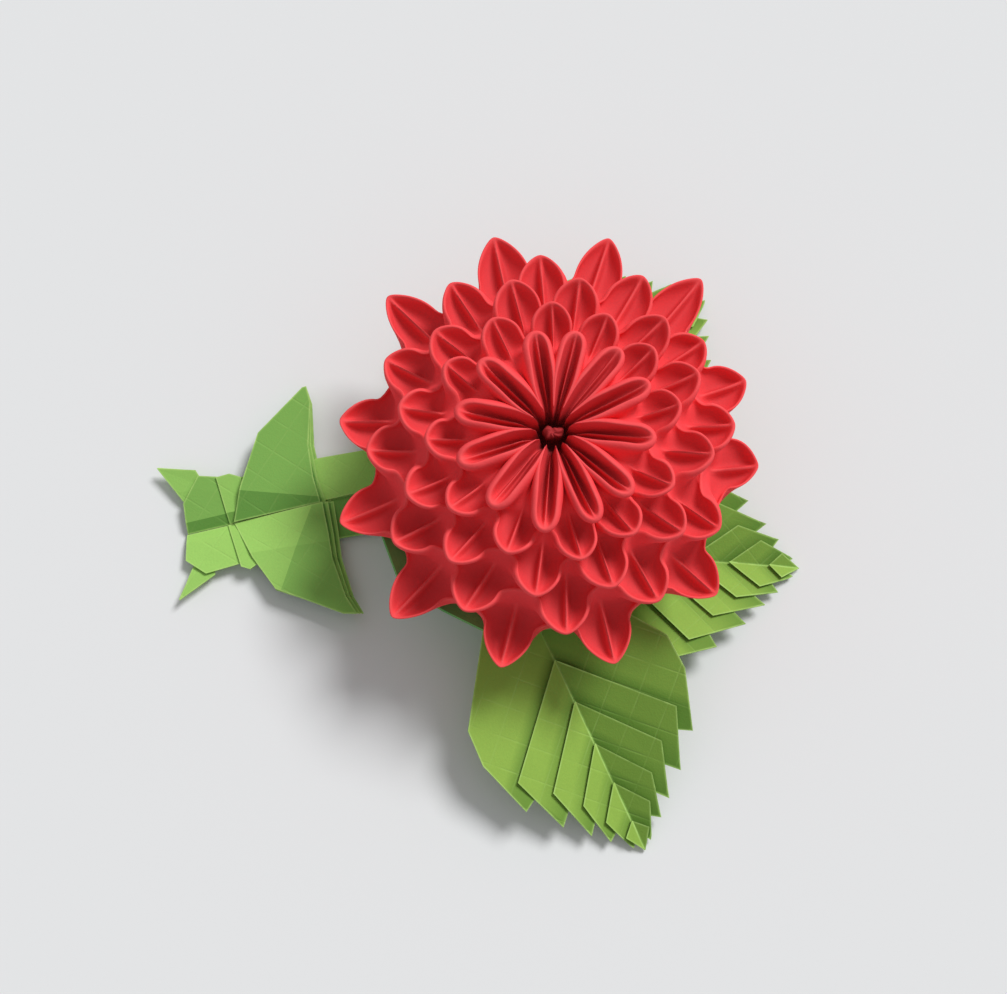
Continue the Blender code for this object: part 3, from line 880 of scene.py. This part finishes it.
def build_leaf(leaf):
    paper = paper_settings()
    bm = new_layers()
    for side in (1, -1):
        for strip in range(len(LEAF_MIDRIB) + 1):
            outline = [(-t, side * w) for t, w in leaf_outline(strip, leaf.length)]
            hem = ((0, 1),) if strip else ()
            cuts = leaf_cuts()
            if strip < len(LEAF_MIDRIB):
                cuts.append(band_cut(strip, side))
            height = partial(leaf_height, strip, side, leaf.steep)
            seed = strip + 10 * (side > 0) + leaf.tip_x
            add_layer(bm, outline, height, cuts, hem, seed, partial(leaf_dark, strip, side))
    bm.transform(Matrix.Scale(MM, 4))
    place = Matrix.Translation(Vector((leaf.tip_x, leaf.tip_y, LEAF_TIP_HEIGHT)) * MM)
    place @= Matrix.Rotation(math.radians(leaf.heading), 4, "Z")
    place @= Matrix.Rotation(math.radians(leaf.lean), 4, "Y")
    bm.transform(place)
    material = paper_material(
        leaf.name + "_paper", paper.leaf_green, WORN_AND_LIT_GREEN, GREEN_PAINTED_SHADE, creases=0.26)
    slot = leaf.node + "_paper"
    piece = finish_piece(leaf.name, bm, material, leaf.node, flat=True)
    add_wall(piece)


# Stem: a runs along it from its free end, b across it from the seam

SEAM_STRIP = 2.2                  # width of the dark strip above the seam
SEAM_END = 20.0                   # where the wings cover that strip
SEAM_SHADE = 0.45
STEM_CREASES = (2.0, SEAM_STRIP, 4.2, 9.0)    # beside the seam, on both sides of it
CROSS_CREASES = (20.0, 34.0, 48.0)


class Strip(NamedTuple):
    """A layer of the stem, with its slopes beside the seam and beyond the knee."""

    lift: float
    knee: float
    steep: float
    outer: float
    # painted shade: halves turned from the light, and the shadow under the head
    dark: float
    outline: tuple
    folded: tuple


STEM_LAYERS = (
    Strip(0.9, 2.2, 0.62, 0.10, 0.7, (
        (-0.4, 0.05), (0.1, 6.3), (4.3, 11.4), (12.0, 9.2), (14.0, 9.0), (14.0, 0.05)),
        ((0, 1), (2, 3))),
    Strip(0.9, 2.0, 0.40, 0.16, 0.05, (
        (-0.6, -0.05), (-1.8, -5.7), (1.8, -9.5), (8.5, -9.1), (14.0, -9.2), (14.0, -0.05)),
        ((0, 1), (2, 3))),
    Strip(1.2, 2.2, 0.10, 0.08, 0.05, (
        (27.0, 0.5), (26.0, 8.0), (29.0, 9.6), (40.0, 9.0), (68.1, 8.8), (68.1, 0.5)),
        ((5, 0),)),
    Strip(0.6, 2.0, 0.15, 0.10, 0.9, (
        (27.0, 0.6), (26.0, -8.0), (40.0, -9.0), (66.0, -9.0), (66.0, 0.6)), ()),
    Strip(0.35, 9.0, 0.20, 0.10, 0.35, (
        (-3.8, 15.1), (4.0, 12.9), (6.0, 7.6), (0.6, 6.0)), ((0, 3),)),
    Strip(0.35, 9.0, 0.20, 0.10, 0.15, (
        (-4.6, -13.7), (3.6, -10.0), (4.0, -7.6), (-0.6, -7.2)), ((0, 1),)),
    Strip(1.3, 2.2, 0.62, 0.10, 0.3, (
        (8.6, 0.05), (7.9, 10.1), (10.8, 10.2), (13.0, 9.0), (13.4, 0.05)), ((0, 1),)),
    Strip(1.3, 2.0, 0.40, 0.16, 0.1, (
        (8.2, -0.05), (9.2, -9.9), (11.0, -10.9), (13.6, -9.6), (13.0, -0.05)), ((0, 1),)),
)


def stem_height(layer, a, b):
    """Height of a layer of the stem: a valley at the seam, then flatter."""
    inner = min(abs(b), layer.knee)
    return layer.lift + layer.steep * inner + layer.outer * (abs(b) - inner)


def stem_dark(layer, a, b):
    """Shade of a layer of the stem, deeper in the strip beside the seam."""
    return layer.dark + (SEAM_SHADE if 0 < b < SEAM_STRIP and a < SEAM_END else 0.0)


class Fold(NamedTuple):
    """A crease across a wing: how much steeper the paper is beyond it, and how much its painted
    shade changes there.
    """

    start: tuple
    end: tuple
    steeper: float
    darker: float

    def normal(self):
        a, b = self.end[0] - self.start[0], self.end[1] - self.start[1]
        size = math.hypot(a, b)
        return -b / size, a / size

    def beyond(self, a, b):
        across, along = self.normal()
        return max(0.0, (a - self.start[0]) * across + (b - self.start[1]) * along)


class Wing(NamedTuple):
    """Upper or lower wing of the stem."""

    outline: tuple
    folded: tuple
    lift: float
    slope: float
    folds: tuple
    # painted shade of the wing where it turns from the light
    dark: float
    meet: float                   # distance from the seam at which the layers meet


WINGS = (
    Wing(((9.6, 0.05), (12.6, 6.7), (18.5, 17.1), (29.6, 24.9), (30.5, 25.0), (30.6, 21.4),
          (28.2, 12.4), (27.7, 5.6), (28.0, 0.05)),
         ((4, 5), (5, 6), (6, 7), (7, 8)), 2.3, 0.40,
         (Fold((12.8, 5.7), (26.5, 1.6), -0.34, -0.26),), 1.0, 24.0),
    Wing(((9.6, -0.05), (11.9, -8.6), (15.2, -16.4), (27.7, -24.9), (30.4, -25.5),
          (29.0, -21.6), (28.0, -13.0), (28.3, -7.5), (28.4, -0.05)),
         ((4, 5), (5, 6), (6, 7), (7, 8)), 2.4, 0.22,
         (Fold((16.6, -16.4), (25.5, -1.3), -0.05, -0.45),
          Fold((27.0, -9.0), (11.9, -7.6), -0.17, 0.12)),
         0.5, 60.0),
)
WING_LAYERS = 3
WING_GAP = 0.75                   # height from one layer of a wing to the next
WING_SHIFT = 1.15                 # how far each lower layer stands out beside the seam
SHIFT_START = 24.0                # where that shift begins, and where it is full
SHIFT_FULL = 28.0
SLIT_SHADOW = 0.42                       # width of the painted shadow beside a layer's folded edge, on the layer below
EDGE_REACH = 9.5                  # how far from an edge's start its slit may lie
UNDER_SHADE = 0.45                # of a lower layer beside its slit


def wing_height(wing, drop, a, b):
    """Height of a layer of a wing: its slope from the seam, and its folds."""
    folds = sum(fold.steeper * fold.beyond(a, b) for fold in wing.folds)
    return wing.lift - drop + wing.slope * abs(b) + folds


def wing_edge(wing, level):
    """Folded sides of a layer of the wing as (start, outward normal)."""
    outline = shifted(wing, level)
    sides = []
    for first, second in wing.folded:
        start = Vector(outline[first])
        along = (Vector(outline[second]) - start).normalized()
        normal = Vector((along.y, -along.x))
        sides.append((start, normal if normal.x > 0 else -normal))
    return sides


def wing_dark(wing, level, a, b):
    """Shade of a wing: its facets, and the slit between two layers."""
    if level:
        outside = []
        for start, normal in wing_edge(wing, level - 1):
            away = Vector((a, b)) - start
            if abs(away.dot(Vector((normal.y, -normal.x)))) < EDGE_REACH:
                outside.append(away.dot(normal))
        return 1.0 if max(outside) < SLIT_SHADOW else UNDER_SHADE
    return wing.dark + sum(fold.darker for fold in wing.folds if fold.beyond(a, b) > 0)


def shifted(wing, level):
    """Outline of a layer of the wing: the lower, the further out along the stem."""
    moved = []
    for a, b in wing.outline:
        share = max(0.0, min(1.0, (a - SHIFT_START) / (SHIFT_FULL - SHIFT_START)))
        amount = WING_SHIFT * level * max(0.0, 1 - abs(b) / wing.meet)
        moved.append((a + amount * share, b))
    return tuple(moved)


def build_stem():
    paper = paper_settings()
    bm = new_layers()
    cuts = [((0.0, side * b), (0.0, 1.0)) for side in (1, -1) for b in STEM_CREASES]
    cuts += [((a, 0.0), (1.0, 0.0)) for a in CROSS_CREASES]
    for seed, layer in enumerate(STEM_LAYERS, 30):
        add_layer(
            bm, layer.outline, partial(stem_height, layer), cuts, layer.folded, seed,
            partial(stem_dark, layer))
    for number, wing in enumerate(WINGS):
        for level in range(WING_LAYERS):
            creases = [(fold.start, fold.normal()) for fold in wing.folds]
            if level:
                creases += [(start + normal * SLIT_SHADOW, normal)
                            for start, normal in wing_edge(wing, level - 1)]
            height = partial(wing_height, wing, WING_GAP * level)
            add_layer(
                bm, shifted(wing, level), height, creases, wing.folded,
                50 + 10 * number + level, partial(wing_dark, wing, level))
    bm.transform(Matrix.Scale(MM, 4))
    place = Matrix.Translation(Vector((*STEM_START, 0.0)) * MM)
    place @= Matrix.Rotation(math.radians(STEM_HEADING), 4, "Z")
    bm.transform(place)
    material = paper_material(
        "stem_green_paper", paper.stem_green, WORN_AND_LIT_GREEN, GREEN_PAINTED_SHADE, creases=0.18)
    stem = finish_piece("stem_folds", bm, material, "stem", flat=True)
    add_wall(stem)


# Stage

def build_stage():
    stage = stage_settings()
    scene = bpy.context.scene
    bm = bmesh.new()
    bmesh.ops.create_grid(bm, x_segments=2, y_segments=2, size=TABLE_REACH)
    mesh = bpy.data.meshes.new("table")
    bm.to_mesh(mesh)
    bm.free()
    table = bpy.data.objects.new("table", mesh)
    scene.collection.objects.link(table)
    material = bpy.data.materials.new("pale_table")
    material.use_nodes = True
    shader = material.node_tree.nodes["Principled BSDF"]
    shader.inputs["Base Color"].default_value = stage.floor
    shader.inputs["Roughness"].default_value = 0.9
    shader.inputs["Specular IOR Level"].default_value = 0.1
    table.data.materials.append(material)

    key = bpy.data.lights.new("soft_key", "SUN")
    key.energy = stage.key
    key.angle = KEY_ANGLE
    lamp = bpy.data.objects.new("soft_key", key)
    lamp.rotation_euler = Vector(KEY_FROM).to_track_quat("Z", "Y").to_euler()
    scene.collection.objects.link(lamp)

    world = bpy.data.worlds.new("even_sky")
    world.use_nodes = True
    background = world.node_tree.nodes["Background"]
    background.inputs["Color"].default_value = (1.0, 1.0, 1.0, 1.0)
    background.inputs["Strength"].default_value = stage.sky
    scene.world = world

    camera = bpy.data.cameras.new("camera")
    camera.lens = CAMERA_LENS
    camera.sensor_width = 36.0
    camera.clip_start = 0.01
    view = bpy.data.objects.new("camera", camera)
    view.location = Vector(CAMERA_PLACE) * MM
    view.rotation_euler = (math.radians(90.0 - CAMERA_ELEVATION), 0.0, 0.0)
    scene.collection.objects.link(view)
    scene.camera = view
    scene.view_settings.view_transform = "Standard"


class DAHLIA_OT_head(bpy.types.Operator):
    """Folds the red head with its rings of petals"""

    bl_idname = "dahlia.head"
    bl_label = "Head"

    def execute(self, context):
        build_head()
        return {"FINISHED"}


class DAHLIA_OT_calyx(bpy.types.Operator):
    """Folds the green cup under the head"""

    bl_idname = "dahlia.calyx"
    bl_label = "Calyx"

    def execute(self, context):
        build_calyx()
        return {"FINISHED"}


class DAHLIA_OT_leaves(bpy.types.Operator):
    """Folds the pleated leaves"""

    bl_idname = "dahlia.leaves"
    bl_label = "Leaves"

    def execute(self, context):
        for leaf in LEAVES:
            build_leaf(leaf)
        return {"FINISHED"}


class DAHLIA_OT_stem(bpy.types.Operator):
    """Folds the stem with its wings"""

    bl_idname = "dahlia.stem"
    bl_label = "Stem"

    def execute(self, context):
        build_stem()
        return {"FINISHED"}


class DAHLIA_OT_stage(bpy.types.Operator):
    """Sets up the table, the light and the camera"""

    bl_idname = "dahlia.stage"
    bl_label = "Stage"

    def execute(self, context):
        build_stage()
        return {"FINISHED"}


class DAHLIA_PT_panel(bpy.types.Panel):
    """Lists the pieces of the flower in the sidebar"""

    bl_idname = "DAHLIA_PT_panel"
    bl_label = "Paper Dahlia"
    bl_space_type = "VIEW_3D"
    bl_region_type = "UI"
    bl_category = "Dahlia"

    def draw(self, context):
        column = self.layout.column()
        for operator in OPERATORS:
            column.operator(operator.bl_idname)
        for settings in (context.scene.dahlia_paper, context.scene.dahlia_stage):
            for key in settings.__annotations__:
                column.prop(settings, key)


OPERATORS = (
    DAHLIA_OT_head, DAHLIA_OT_calyx, DAHLIA_OT_leaves, DAHLIA_OT_stem, DAHLIA_OT_stage)
CLASSES = (PaperSettings, StageSettings, *OPERATORS, DAHLIA_PT_panel)


def register():
    for cls in CLASSES:
        bpy.utils.register_class(cls)
    bpy.types.Scene.dahlia_paper = PointerProperty(type=PaperSettings)
    bpy.types.Scene.dahlia_stage = PointerProperty(type=StageSettings)


def unregister():
    del bpy.types.Scene.dahlia_paper
    del bpy.types.Scene.dahlia_stage
    for cls in reversed(CLASSES):
        bpy.utils.unregister_class(cls)


def main():
    register()
    bpy.ops.dahlia.head()
    bpy.ops.dahlia.calyx()
    bpy.ops.dahlia.leaves()
    bpy.ops.dahlia.stem()
    bpy.ops.dahlia.stage()


if __name__ == "__main__":
    main()
